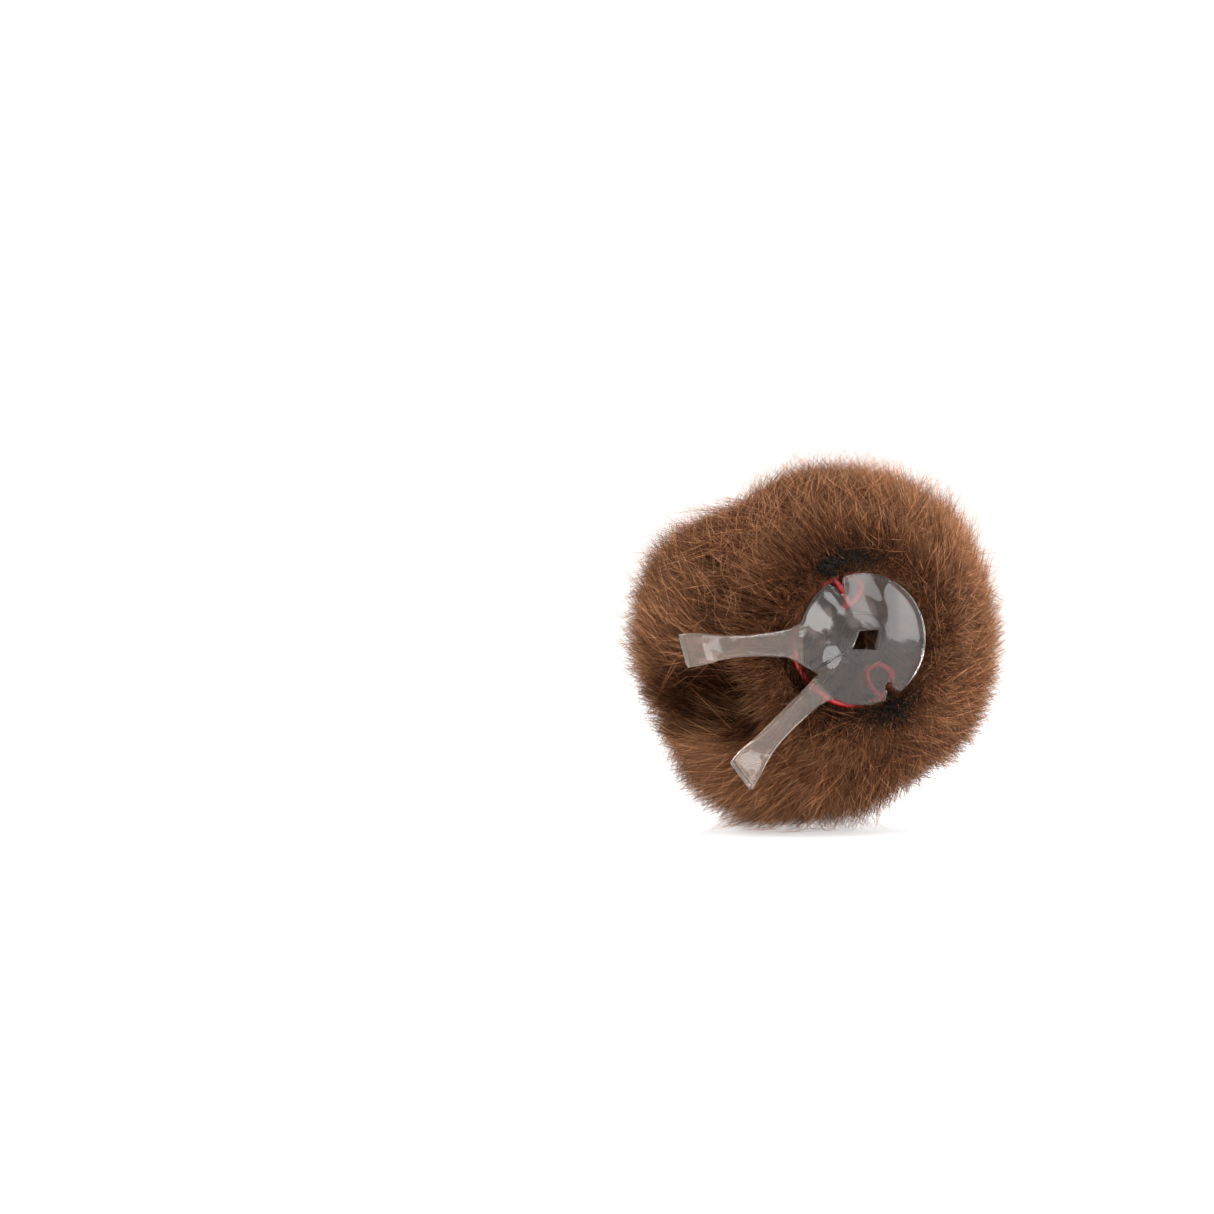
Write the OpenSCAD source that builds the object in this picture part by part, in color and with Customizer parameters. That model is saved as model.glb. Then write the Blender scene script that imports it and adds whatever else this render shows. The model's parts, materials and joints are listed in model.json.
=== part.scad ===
// Fur windshield and clear silicone mount for a lavalier microphone.
// Row frame: the mouth looks along -Y, +X is to its right and +Z is up.
// The origin is on the mount's axis, in the plane of the disc's rim.
// Every module is drawn in the mouth frame, where +Z leaves the mouth and +Y is up,
// and is turned into the row frame by mouth_frame().

/* [Fur ball] */
// Radius of the pile across the ball
ball_r = 22; // [21.5:0.25:24]
// Half depth of the pile from mouth to dome
ball_half_depth = 17.4; // [16.5:0.1:17.6]
// Distance of the ball's centre behind the disc's rim
ball_setback = 17.2; // [17:0.1:18]
// Distance of the ball's centre below the mount's axis
ball_drop = 1.8; // [0:0.1:2]
// Height of pile pressed flat where the ball lies
flat_depth = 0.8; // [0.6:0.1:2]
// Angle of the sewn seam round the mouth
seam_angle = 117; // [90:1:140]

/* [Knit backing] */
// Outer radius of the backing bag
bag_r = 12.5; // [12:0.1:13]
// Half depth of the backing bag
bag_half_depth = 14; // [13.5:0.1:14.5]
// Distance of the bag's centre behind the disc's rim
bag_setback = 13; // [12.8:0.1:13.2]
// Thickness of the knit backing
knit_t = 0.8; // [0.5:0.1:1]

/* [Mouth] */
// Centreline radius of the folded hem
hem_r = 8.9; // [8.8:0.1:9.2]
// Radius of the folded hem's section
hem_section_r = 0.8; // [0.6:0.05:0.8]
// Depth of the hem behind the disc's rim
hem_depth = 2.6; // [2.5:0.1:2.8]
// Radius of the hole in the pile at the hem
pile_mouth_r = 9.85; // [9.8:0.05:10.2]
// Radius of the hole in the pile at its front
pile_mouth_front_r = 10.6; // [10.2:0.1:11]

/* [Elastic cord] */
// Radius of the cord
cord_r = 0.4; // [0.3:0.05:0.42]
// Depth of the cord behind the disc's rim
cord_depth = 2.2; // [2.1:0.1:2.4]
// Radius of the loop between the tacks
loop_r = 7.6; // [7.5:0.05:7.65]

/* [Thread tacks] */
// Angle of the upper tack round the mouth
tack_upper_angle = 115; // [110:1:120]
// Angle of the lower tack round the mouth
tack_lower_angle = 299; // [294:1:304]
// Radius of the tacking thread
thread_r = 0.16; // [0.12:0.01:0.18]

/* [Silicone mount] */
// Diameter of the disc
disc_d = 15; // [14.4:0.1:15]
// Radius of the disc's domed face
dome_r = 26; // [24:1:30]
// Thickness of the silicone
disc_t = 0.9; // [0.8:0.05:1]
// Inner radius of the capsule seat
seat_r = 2.2; // [2:0.05:2.3]
// Outer radius of the capsule seat's collar
collar_r = 2.95; // [2.8:0.05:2.95]
// Length of the collar behind the disc's rim
collar_depth = 4.5; // [4:0.1:4.8]
// Width of the cable slit
slit_w = 0.3; // [0.2:0.05:0.4]
// Angle of the cable slit round the disc
slit_angle = 210; // [207:1:212]
// Width of the rim notches
notch_w = 1.8; // [1.4:0.1:2]
// Radius at which the rim notches end
notch_end_r = 5.7; // [5.5:0.1:6]

/* [Silicone legs] */
// Angle of the left leg round the disc
leg_left_angle = 182.5; // [180:0.5:188]
// Angle of the lower leg round the disc
leg_lower_angle = 225.5; // [224:0.5:234]
// Radius at which a leg flexes
flex_r = 8.15; // [8.1:0.05:8.4]
// Radius at which a leg starts to curl
curl_start_r = 15; // [13:0.5:15.5]
// Radius of a leg's curl
curl_r = 12; // [9:1:14]
// Angle of a leg's curl
curl_angle = 36; // [25:1:40]
// Width of a leg at its root
leg_root_w = 3.1; // [2.8:0.1:3.2]
// Width of a leg at its waist
leg_waist_w = 2.45; // [2.2:0.05:2.6]
// Width of a leg at its tip
leg_tip_w = 3.8; // [3.2:0.1:3.9]

/* [Hidden] */

fur_colour = "#6e4630";
knit_colour = "#2a1c14";
thread_colour = "#141214";
cord_colour = "#b01020";
silicone_colour = "#b4b0ac";

$fn = 64;
far = 80;                                  // larger than the whole part
sides = [1, -1];                           // the legs' side of the seam, then the other
sewn_gap = 0.05;                           // between the layers of one gore
pile_gap = 0.2;                            // between the pile and the back of the hem
disc_r = disc_d / 2;
rim_sag = dome_r - sqrt(dome_r * dome_r - disc_r * disc_r);
rim_top = disc_t / 2;                      // front edge of the rim
dome_centre = rim_top + rim_sag - dome_r;
crown_back = dome_centre + dome_r - disc_t; // back of the disc on its axis
leg_t = disc_t;
stitch_pitch = 12;                         // degrees round the bag from stitch to stitch
stitch_len = 2.2;
thread_gap = 0.08;                         // between the thread and what it binds
hem_loops = [-4.2, -1.4, 1.4, 4.2];        // degrees from a tack's middle to its loops round the hem
cord_loops = [[20], [-20, 20]];            // and to each tack's loops round the hem and the cord
cord_slack = 0.5;                          // inside the cord, where a loop rounds its corner
knot_r = 0.42;
notch_tip_r = 0.35;                        // radius of a rim notch's inner end
notch_flare = 0.66;                        // a notch's half width at the rim, as a share of its width
deep = 2;                                  // behind the disc, for the cuts through it

function pol(r, a) = [r * cos(a), r * sin(a)];

// Right half of an ellipse, as a profile for rotate_extrude
function half_ellipse(r, half_h, step = 7.5) =
  [for (a = [-90:step:90]) [max(0, r * cos(a)), half_h * sin(a)]];

module mouth_frame() {
  rotate([90, 0, 0])
    children();
}

module egg(r, half_h, setback, drop = 0) {
  translate([0, -drop, -setback])
    rotate_extrude($fn = 96)
      polygon(half_ellipse(r, half_h));
}

// Everything on one side of the sewn seam's plane
module seam_side(side) {
  rotate([0, 0, seam_angle])
    translate([-far / 2, side > 0 ? 0 : -far, -far / 2])
      cube([far, far, far]);
}

// ---- fur, backing and hem -------------------------------------------------

module pile_mouth() {
  mouth_back = hem_depth + hem_section_r + pile_gap;
  slope = (pile_mouth_front_r - pile_mouth_r) / (mouth_back - 1);
  ahead = 4;
  translate([0, 0, -mouth_back])
    cylinder(h = mouth_back + ahead, r1 = pile_mouth_r, r2 = pile_mouth_r + slope * (mouth_back + ahead));
}

module lying_flat() {
  translate([-far / 2, -ball_drop - ball_r + flat_depth - far, -far])
    cube([far, far, 2 * far]);
}

module fur_half(side) {
  color(fur_colour)
    mouth_frame()
      intersection() {
        difference() {
          egg(ball_r, ball_half_depth, ball_setback, ball_drop);
          egg(bag_r + sewn_gap, bag_half_depth + sewn_gap, bag_setback);
          pile_mouth();
          lying_flat();
        }
        seam_side(side);
      }
}

module backing_half(side) {
  color(knit_colour)
    mouth_frame()
      intersection() {
        difference() {
          egg(bag_r, bag_half_depth, bag_setback);
          egg(bag_r - knit_t, bag_half_depth - knit_t, bag_setback);
          translate([-far / 2, -far / 2, -hem_depth - hem_section_r - sewn_gap])
            cube([far, far, far]);
        }
        seam_side(side);
      }
}

module hem_half(side) {
  color(knit_colour)
    mouth_frame()
      translate([0, 0, -hem_depth])
        rotate([0, 0, seam_angle + (side > 0 ? 0 : 180)])
          rotate_extrude(angle = 180, $fn = 96)
            translate([hem_r, 0])
              circle(hem_section_r, $fn = 32);
}

// Overcast stitches that close the two gores along the inside of the bag
module stitch(a) {
  run_r = bag_r - knit_t - 2.5 * thread_r;
  run_h = bag_half_depth - knit_t - 2.5 * thread_r;
  rotate([0, 0, seam_angle])
    translate([run_r * cos(a), 0, run_h * sin(a) - bag_setback])
      rotate([90, 0, 0])
        cylinder(h = stitch_len, r = thread_r, center = true, $fn = 24);
}

module seam_stitches() {
  color(thread_colour)
    mouth_frame()
      for (a = [stitch_pitch * 1.5:-stitch_pitch:-180 - stitch_pitch * 1.5])
        stitch(a);
}

// ---- elastic cord and thread tacks ----------------------------------------

// Half of the small inner loop at a tack, as [along the rim, distance from the axis]
ear = [[0, 3.72], [1.3, 3.85], [2.3, 4.5], [2.7, 5.4], [2.3, 6.3], [1.65, 6.95], [2.0, 7.3]];
ear_spread = [[1.15, 0.45], [0.45, 0.6]];  // width of each tack's ear before and after the tack
arc_points = 7;                            // points of the loop between two ears
arc_margin = 24;                           // degrees from a tack to where the loop is round

function spread(pts, k) = [for (p = pts) [k * p[0], p[1]]];
function backwards(pts) = [for (i = [len(pts) - 1:-1:1]) pts[i]];
function at_angle(p, a) = [p[1] * cos(a) + p[0] * sin(a), p[1] * sin(a) - p[0] * cos(a)];
function ear_route(a, k) =
  [for (p = concat(backwards(spread(ear, k[0])), spread(ear, -k[1]))) at_angle(p, a)];
function arc_route(from, to) =
  [for (i = [0:arc_points - 1])
    pol(loop_r, from + arc_margin + (to - from - 2 * arc_margin) * i / (arc_points - 1))];
route = concat(
  ear_route(tack_upper_angle, ear_spread[0]),
  arc_route(tack_upper_angle, tack_lower_angle),
  ear_route(tack_lower_angle, ear_spread[1]),
  arc_route(tack_lower_angle, tack_upper_angle + 360)
);

// Catmull-Rom curve through a closed route
function spline(p0, p1, p2, p3, t) =
  0.5 * (2 * p1 + (p2 - p0) * t + (2 * p0 - 5 * p1 + 4 * p2 - p3) * t * t
    + (3 * p1 - p0 - 3 * p2 + p3) * t * t * t);
function smooth(pts, steps) =
  [for (i = [0:len(pts) - 1], s = [0:steps - 1])
    let (n = len(pts))
      spline(pts[(i + n - 1) % n], pts[i], pts[(i + 1) % n], pts[(i + 2) % n], s / steps)];
function unit(v) = v / norm(v);

// Closed tube that follows a flat closed curve
module flat_tube(line, r, n_sides = 8) {
  n = len(line);
  points = [for (i = [0:n - 1], k = [0:n_sides - 1])
    let (
      along = unit(line[(i + 1) % n] - line[(i + n - 1) % n]),
      out = [along[1], -along[0]],
      a = 360 * k / n_sides
    )
      [line[i][0] + r * cos(a) * out[0], line[i][1] + r * cos(a) * out[1], r * sin(a)]];
  faces = [for (i = [0:n - 1], k = [0:n_sides - 1])
    let (
      j = (i + 1) % n,
      m = (k + 1) % n_sides
    )
      [i * n_sides + k, i * n_sides + m, j * n_sides + m, j * n_sides + k]];
  polyhedron(points, faces, convexity = 6);
}

module mouth_cord() {
  color(cord_colour)
    mouth_frame()
      translate([0, 0, -cord_depth])
        flat_tube(smooth(route, 2), cord_r);
}

// One flat loop of thread round a box that runs from x0 to x1 and from z0 to z1
module thread_loop(x0, x1, z0, z1) {
  half_h = (z1 - z0) / 2;
  run = x1 - x0 - 2 * half_h;
  translate([x0 + half_h, 0, (z0 + z1) / 2])
    rotate([90, 0, 0])
      linear_extrude(2 * thread_r, center = true)
        difference() {
          loop_plate(run, half_h + 2 * thread_r);
          loop_plate(run, half_h);
        }
}

module loop_plate(run, r) {
  for (x = [0, run])
    translate([x, 0])
      circle(r, $fn = 32);
  translate([0, -r])
    square([run, 2 * r]);
}

// Loops round the hem alone, loops that also hold the cord, and a knot
module tack(angle, holds) {
  reach = hem_section_r + thread_gap;
  cord_in = loop_r - cord_r - cord_slack;
  color(thread_colour)
    mouth_frame()
      rotate([0, 0, angle]) {
        for (a = hem_loops)
          rotate([0, 0, a])
            thread_loop(hem_r - reach, hem_r + reach, -hem_depth - reach, -hem_depth + reach);
        for (a = holds)
          rotate([0, 0, a])
            thread_loop(cord_in, hem_r + reach, -hem_depth - reach, -hem_depth + reach);
        translate([hem_r - reach - thread_r, 0, -hem_depth + reach])
          sphere(knot_r, $fn = 32);
      }
}

// ---- silicone mount --------------------------------------------------------

module dome_shell() {
  intersection() {
    difference() {
      translate([0, 0, dome_centre])
        sphere(dome_r, $fn = 96);
      translate([0, 0, dome_centre])
        sphere(dome_r - disc_t, $fn = 96);
    }
    translate([0, 0, -deep])
      cylinder(h = far, r = disc_r);
  }
}

module rim_notch(angle) {
  rotate([0, 0, angle])
    translate([0, 0, -deep]) {
      translate([notch_end_r + notch_tip_r, 0, 0])
        cylinder(h = 3 * deep, r = notch_tip_r);
      linear_extrude(3 * deep)
        polygon([
          [notch_end_r + 0.2, -0.33], [notch_end_r + 0.2, 0.33],
          [disc_r + 1, notch_flare * notch_w], [disc_r + 1, -notch_flare * notch_w]
        ]);
    }
}

// Corners of the slanted window in the middle of the disc
window = [[-0.7, 1.0], [1.85, 1.05], [1.35, -1.2], [-1.45, -1.1]];

// Gap between the legs' roots, from its inner corner out past the rim
leg_gap = [[-5.2, -3.9], [-8.6, -2.25], [-9, -4], [-7.3, -6.05]];

module cable_way() {
  linear_extrude(far)
    polygon(window);
  rotate([0, 0, slit_angle])
    translate([0, -slit_w / 2, -far / 2])
      cube([far, slit_w, far]);
}

module mount() {
  color(silicone_colour, 0.6)
    mouth_frame()
      difference() {
        union() {
          dome_shell();
          translate([0, 0, -collar_depth])
            cylinder(h = collar_depth + crown_back + disc_t / 2, r = collar_r);
        }
        translate([0, 0, -collar_depth - 1])
          cylinder(h = collar_depth + 1 + crown_back, r = seat_r);
        rim_notch(tack_upper_angle);
        rim_notch(tack_lower_angle);
        translate([0, 0, -deep])
          linear_extrude(3 * deep)
            polygon(leg_gap);
        cable_way();
      }
}

// Leg seen from the front, with its root at the flex line and its tip at +X
module leg_outline(outer_side) {
  run = curl_start_r - flex_r + curl_r * sin(curl_angle);
  waist = 0.5 * run;
  slant = 0.6 * outer_side;
  polygon([
    [-2, leg_root_w / 2], [0.2 * run, 0.92 * leg_root_w / 2], [waist, leg_waist_w / 2],
    [0.8 * run, 0.94 * leg_tip_w / 2], [run + slant, leg_tip_w / 2],
    [run - slant, -leg_tip_w / 2], [0.8 * run, -0.94 * leg_tip_w / 2],
    [waist, -leg_waist_w / 2], [0.2 * run, -0.92 * leg_root_w / 2], [-2, -leg_root_w / 2]
  ]);
}

// Leg seen from its side: a round root, a straight run and a curl towards the front
module leg_profile() {
  straight = curl_start_r - flex_r;
  circle(leg_t / 2, $fn = 32);
  translate([0, -leg_t / 2])
    square([straight, leg_t]);
  translate([straight, curl_r])
    intersection() {
      difference() {
        circle(curl_r + leg_t / 2, $fn = 96);
        circle(curl_r - leg_t / 2, $fn = 96);
      }
      polygon([[0, 0], [0, -far], [far * sin(curl_angle), -far * cos(curl_angle)]]);
    }
}

module leg(angle, outer_side) {
  color(silicone_colour, 0.6)
    mouth_frame()
      rotate([0, 0, angle])
        translate([flex_r, 0, 0])
          intersection() {
            translate([0, 0, -far / 2])
              linear_extrude(far)
                leg_outline(outer_side);
            rotate([90, 0, 0])
              linear_extrude(2 * leg_tip_w, center = true)
                leg_profile();
          }
}

module fur_left() { fur_half(sides[0]); }
module fur_right() { fur_half(sides[1]); }
module backing_left() { backing_half(sides[0]); }
module backing_right() { backing_half(sides[1]); }
module hem_left() { hem_half(sides[0]); }
module hem_right() { hem_half(sides[1]); }
module tack_upper() { tack(tack_upper_angle, cord_loops[0]); }
module tack_lower() { tack(tack_lower_angle, cord_loops[1]); }
module leg_left() { leg(leg_left_angle, -1); }
module leg_lower() { leg(leg_lower_angle, 1); }

fur_left();
fur_right();
backing_left();
backing_right();
hem_left();
hem_right();
seam_stitches();
mouth_cord();
tack_upper();
tack_lower();
mount();
leg_left();
leg_lower();
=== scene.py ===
"""Looks of the fur windshield and its clear silicone mount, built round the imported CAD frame.

Shapes are worked out in the mouth frame, in millimetres: +X right, +Y up and +Z out of the mouth.
row() turns them into the row frame, in metres.
"""

import json
import math

import bpy
import numpy as np
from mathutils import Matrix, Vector, kdtree
from mathutils.geometry import delaunay_2d_cdt


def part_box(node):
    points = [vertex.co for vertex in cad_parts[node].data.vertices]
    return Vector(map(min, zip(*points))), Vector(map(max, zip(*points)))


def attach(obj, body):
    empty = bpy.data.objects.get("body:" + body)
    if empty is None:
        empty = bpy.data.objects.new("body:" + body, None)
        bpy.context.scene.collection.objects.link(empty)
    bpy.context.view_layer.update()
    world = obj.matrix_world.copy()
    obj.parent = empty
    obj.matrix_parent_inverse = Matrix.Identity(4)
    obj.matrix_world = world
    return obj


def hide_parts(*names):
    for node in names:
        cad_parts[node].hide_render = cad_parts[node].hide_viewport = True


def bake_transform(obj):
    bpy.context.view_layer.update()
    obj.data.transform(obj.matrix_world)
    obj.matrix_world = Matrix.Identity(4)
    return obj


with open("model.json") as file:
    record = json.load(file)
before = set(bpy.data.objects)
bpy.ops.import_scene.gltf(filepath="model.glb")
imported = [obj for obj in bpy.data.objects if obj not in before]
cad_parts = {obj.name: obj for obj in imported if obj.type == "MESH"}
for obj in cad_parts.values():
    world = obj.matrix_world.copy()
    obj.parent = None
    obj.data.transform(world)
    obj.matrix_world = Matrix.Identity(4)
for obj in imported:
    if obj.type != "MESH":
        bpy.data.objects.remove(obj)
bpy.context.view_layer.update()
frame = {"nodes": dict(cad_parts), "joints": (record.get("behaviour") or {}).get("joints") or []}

MM = 0.001
rng = np.random.default_rng(20)


# ---- helpers ----


def row(points):
    """Mouth frame in mm to row frame in metres."""
    p = np.asarray(points, float)
    return np.stack([p[..., 0], -p[..., 2], p[..., 1]], axis=-1) * MM


def unit(v):
    return v / np.maximum(np.linalg.norm(v, axis=-1, keepdims=True), 1e-9)


def smoothstep(low, high, x):
    t = np.clip((x - low) / (high - low), 0, 1)
    return t * t * (3 - 2 * t)


def round_axis(r, a, z):
    """Points at radius r, angle a in radians and height z."""
    return np.stack(np.broadcast_arrays(r * np.cos(a), r * np.sin(a), z), axis=-1)


def direction(degrees):
    a = math.radians(degrees)
    return np.array([math.cos(a), math.sin(a), 0.0])


def bearing(azimuth, elevation):
    """The way from the ball to a camera or light, in the row frame."""
    a, e = math.radians(azimuth), math.radians(elevation)
    return Vector((math.sin(a) * math.cos(e), -math.cos(a) * math.cos(e), math.sin(e)))


def add_object(name, data):
    obj = bpy.data.objects.new(name, data)
    bpy.context.scene.collection.objects.link(obj)
    return obj


def make_object(name, verts, faces, materials):
    """A smooth mesh object from row-frame points."""
    mesh = bpy.data.meshes.new(name)
    mesh.from_pydata([tuple(v) for v in verts], [], [tuple(f) for f in faces])
    mesh.validate()
    mesh.polygons.foreach_set("use_smooth", [True] * len(mesh.polygons))
    for m in materials:
        mesh.materials.append(m)
    return add_object(name, mesh)


def principled(name, colour, roughness, specular, **sockets):
    """A Principled material; other sockets are given by name, with _ for a space."""
    material = bpy.data.materials.new(name)
    material.use_nodes = True
    shader = material.node_tree.nodes["Principled BSDF"]
    shader.inputs["Base Color"].default_value = (*colour, 1)
    shader.inputs["Roughness"].default_value = roughness
    shader.inputs["Specular IOR Level"].default_value = specular
    for socket, value in sockets.items():
        shader.inputs[socket.replace("_", " ")].default_value = value
    return material


def stand_for(piece, body, node):
    """Lets a piece ride on a body and take the place of a CAD node."""
    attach(piece, body)
    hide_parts(node)


# ---- sizes from the frame ----

mount_low, mount_high = np.array(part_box("mount")) / MM
cord_low, cord_high = np.array(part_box("mouth_cord")) / MM
hem_low, hem_high = np.array(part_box("hem_left")) / MM
left_low, left_high = np.array(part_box("fur_left")) / MM
right_low, right_high = np.array(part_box("fur_right")) / MM
fur_low, fur_high = np.minimum(left_low, right_low), np.maximum(left_high, right_high)

DISC_R = (mount_high[0] - mount_low[0]) / 2
SILICONE_T = 0.9
CORD_R = (cord_high[1] - cord_low[1]) / 2
CORD_Z = -(cord_high[1] + cord_low[1]) / 2
HEM_R = 8.9
HEM_Z = -(hem_high[1] + hem_low[1]) / 2
HEM_SECTION = (hem_high[1] - hem_low[1]) / 2
FLOOR_Y = fur_low[2]

BALL_R = (fur_high[0] - fur_low[0]) / 2
DEPTH_SHARE = 0.791  # the ball's half depth as a share of its radius
BALL_H = DEPTH_SHARE * BALL_R
BALL_C = np.array([0.0, fur_high[2] - BALL_R, -(fur_high[1] - BALL_H)])
BALL = np.array([BALL_R, BALL_R, BALL_H])
BAG = np.array([12.5, 12.5, 14.0])  # half sizes and centre of the knit bag under the pile
BAG_C = np.array([0.0, 0.0, -13.0])
SEAM_ANGLE = 117  # where the seam meets the mouth, in degrees from +X
TACK_ANGLES = (115, 299)
TURN_WAY = {"left": 1, "right": -1}  # each side's way round from the seam

hinges = {j["name"]: np.array(j["pos_m"]) / MM for j in frame["joints"] if j["type"] == "hinge"}
LEG_ANGLES = {
    name: math.degrees(math.atan2(*hinges[f"{name}_flex"][[2, 0]])) % 360
    for name in ("leg_left", "leg_lower")
}


# ---- camera ----

VIEW_AZIMUTH = -16.5
VIEW_ELEVATION = 2.5
VIEW_DISTANCE = 0.9
VIEW_WIDTH = 0.1401  # width of the frame at the ball
OFF_CENTRE = (0.0240, -0.0047)  # the ball's place right of and above the frame's middle


def add_camera():
    back = bearing(VIEW_AZIMUTH, VIEW_ELEVATION)
    rotation = (-back).to_track_quat("-Z", "Y")
    right, up = rotation @ Vector((1, 0, 0)), rotation @ Vector((0, 1, 0))
    aim = Vector(row(BALL_C)) - right * OFF_CENTRE[0] - up * OFF_CENTRE[1]
    data = bpy.data.cameras.new("camera")
    data.lens = data.sensor_width * VIEW_DISTANCE / VIEW_WIDTH
    data.clip_start, data.clip_end = 0.01, 20
    camera = add_object("camera", data)
    camera.rotation_mode = "QUATERNION"
    camera.rotation_quaternion = rotation
    camera.location = aim + back * VIEW_DISTANCE
    bpy.context.scene.camera = camera


add_camera()


# ---- floor and light ----


def add_studio():
    scene = bpy.context.scene
    scene.view_settings.view_transform = "Standard"
    world = bpy.data.worlds.new("studio")
    world.use_nodes = True
    background = world.node_tree.nodes["Background"]
    background.inputs["Color"].default_value = (1, 1, 1, 1)
    background.inputs["Strength"].default_value = 0.75
    scene.world = world

    floor_z = FLOOR_Y * MM
    # a wide dish, so the floor has no edge from any side
    flat_r, bend, height, turns = 2.2, 0.5, 0.8, 72
    profile = [(0.5, 0.0), (flat_r, 0.0)]
    for a in np.linspace(0, math.pi / 2, 13)[1:]:
        profile.append((flat_r + bend * math.sin(a), bend * (1 - math.cos(a))))
    profile.append((flat_r + bend, height))
    verts = [(0, 0, floor_z)]
    for r, z in profile:
        for a in np.arange(turns) * 2 * math.pi / turns:
            verts.append((r * math.cos(a), r * math.sin(a), floor_z + z))
    faces = [(0, 1 + k, 1 + (k + 1) % turns) for k in range(turns)]
    for ring in range(len(profile) - 1):
        low, high = 1 + ring * turns, 1 + (ring + 1) * turns
        for k in range(turns):
            after = (k + 1) % turns
            faces.append((low + k, high + k, high + after, low + after))
    glow = {"Emission_Color": (1, 1, 1, 1), "Emission_Strength": 0.56}
    paper = principled("backdrop_paper", (0.60, 0.60, 0.60), 0.9, 0.1, **glow)
    make_object("backdrop", verts, faces, [paper])


def add_softbox(name, azimuth, elevation, distance, size, power):
    """A white area light that looks at the ball's centre."""
    away = bearing(azimuth, elevation)
    data = bpy.data.lights.new(name, "AREA")
    data.shape = "RECTANGLE"
    data.size, data.size_y = size
    data.energy = power
    light = add_object(name, data)
    light.location = Vector(row(BALL_C)) + away * distance
    light.rotation_mode = "QUATERNION"
    light.rotation_quaternion = away.to_track_quat("Z", "Y")
    light.visible_camera = False


add_studio()
add_softbox("key_above", 30, 68, 0.55, (0.35, 0.35), 4.5)
add_softbox("side_right", 47, 9, 0.55, (0.25, 0.36), 1.8)
add_softbox("front_left", -6, 7, 0.60, (0.14, 0.12), 0.45)
add_softbox("front_high", 16.5, 17.5, 0.60, (0.13, 0.27), 0.62)
add_softbox("side_left", -80, 25, 0.60, (0.30, 0.30), 1.5)
add_softbox("rim_right", 128, 28, 0.60, (0.30, 0.30), 1.3)
add_softbox("rim_left", -140, 28, 0.60, (0.30, 0.30), 1.0)


# ---- materials ----


def mottled(name, colour, roughness, specular, dark, light, scale, bump):
    """A Principled material mottled between two colours, with a matching bump."""
    material = principled(name, colour, roughness, specular)
    nodes, links = material.node_tree.nodes, material.node_tree.links
    shader = nodes["Principled BSDF"]
    where = nodes.new("ShaderNodeTexCoord")
    noise = nodes.new("ShaderNodeTexNoise")
    noise.inputs["Scale"].default_value = scale
    noise.inputs["Detail"].default_value = 4.0
    ramp = nodes.new("ShaderNodeValToRGB")
    for stop, colour, place in zip(ramp.color_ramp.elements, (dark, light), (0.35, 0.68)):
        stop.color, stop.position = (*colour, 1), place
    links.new(where.outputs["Object"], noise.inputs["Vector"])
    links.new(noise.outputs["Fac"], ramp.inputs["Fac"])
    links.new(ramp.outputs["Color"], shader.inputs["Base Color"])
    relief = nodes.new("ShaderNodeBump")
    relief.inputs["Strength"].default_value = bump
    relief.inputs["Distance"].default_value = 0.0002
    links.new(noise.outputs["Fac"], relief.inputs["Height"])
    links.new(relief.outputs["Normal"], shader.inputs["Normal"])
    return material


# Fibre colours from root to tip, and how far each shade of fibre departs from them
FIBRE_ZONES = [
    (0.009, 0.003, 0.001),
    (0.042, 0.0128, 0.0042),
    (0.096, 0.034, 0.0125),
    (0.228, 0.099, 0.043),
]
FIBRE_SHADES = [0.24, 0.50, 0.80, 1.10, 1.48, 2.30]


def fibre_materials():
    made = []
    for s, shade in enumerate(FIBRE_SHADES):
        for z, zone in enumerate(FIBRE_ZONES):
            lift = shade if z else 1.0
            grey = 0.05 * (s % 3)
            mean = sum(zone) / 3
            colour = [min(1.0, lift * (c * (1 - grey) + mean * grey)) for c in zone]
            made.append(principled(f"fibre_{s}_{z}", colour, 0.60, 0.06 * min(1.0, s / 2)))
    return made


fibre = fibre_materials()
underfur = mottled(
    "underfur", (0.014, 0.006, 0.003), 0.9, 0.0, (0.006, 0.003, 0.001), (0.026, 0.011, 0.005), 900, 0.8
)
knit = mottled(
    "knit", (0.02, 0.010, 0.006), 0.9, 0.05, (0.006, 0.004, 0.003), (0.034, 0.016, 0.009), 2500, 0.8
)
lining = mottled(
    "lining", (0.16, 0.085, 0.055), 0.9, 0.05, (0.10, 0.05, 0.03), (0.22, 0.12, 0.08), 2500, 0.8
)
thread = mottled(
    "thread", (0.006, 0.004, 0.003), 0.7, 0.10, (0.002, 0.0015, 0.001), (0.011, 0.007, 0.005), 4000, 0.4
)
elastic = mottled(
    "elastic", (0.42, 0.005, 0.012), 0.2, 0.6, (0.30, 0.002, 0.006), (0.52, 0.008, 0.020), 1500, 0.25
)
silicone = principled(
    "silicone", (0.56, 0.485, 0.445), 0.07, 0.38, Transmission_Weight=0.985, IOR=1.40
)
# Painted reflection: the legs get a lighter, more milky copy of the disc's silicone, for the light their
# tilted faces reflect, though all is one moulding.
leg_silicone_painted_reflection = principled(
    "leg_silicone_painted_reflection", (0.68, 0.565, 0.485), 0.10, 0.38, Transmission_Weight=0.945, IOR=1.40
)
# The collar is one moulding with the disc, so no surface shows between them
seat_silicone = principled(
    "seat_silicone", (0.72, 0.68, 0.65), 0.30, 0.1, Transmission_Weight=0.985, IOR=1.03
)


# ---- fur ----

STRANDS = 180000
PIECE_STRANDS = 9000
STRAND_W = 0.068  # a strand's width at its root
STEPS = np.array([0.0, 0.28, 0.52, 0.76, 1.0])  # where a strand's rings lie along it
HEM_PART = 10  # one strand in this many grows from the hem
LOCK_SIZE, TUFT_SIZE = 60, 420  # strands that lean together, finely and coarsely
GUARD_SHARE = 0.018  # share of long stiff hairs
LEAN_TURN = 25  # degrees that a tip moves for a lean of 1
COMB = np.array([-0.40, 0.36, 0.0])  # the way the cloth's nap leans
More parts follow.
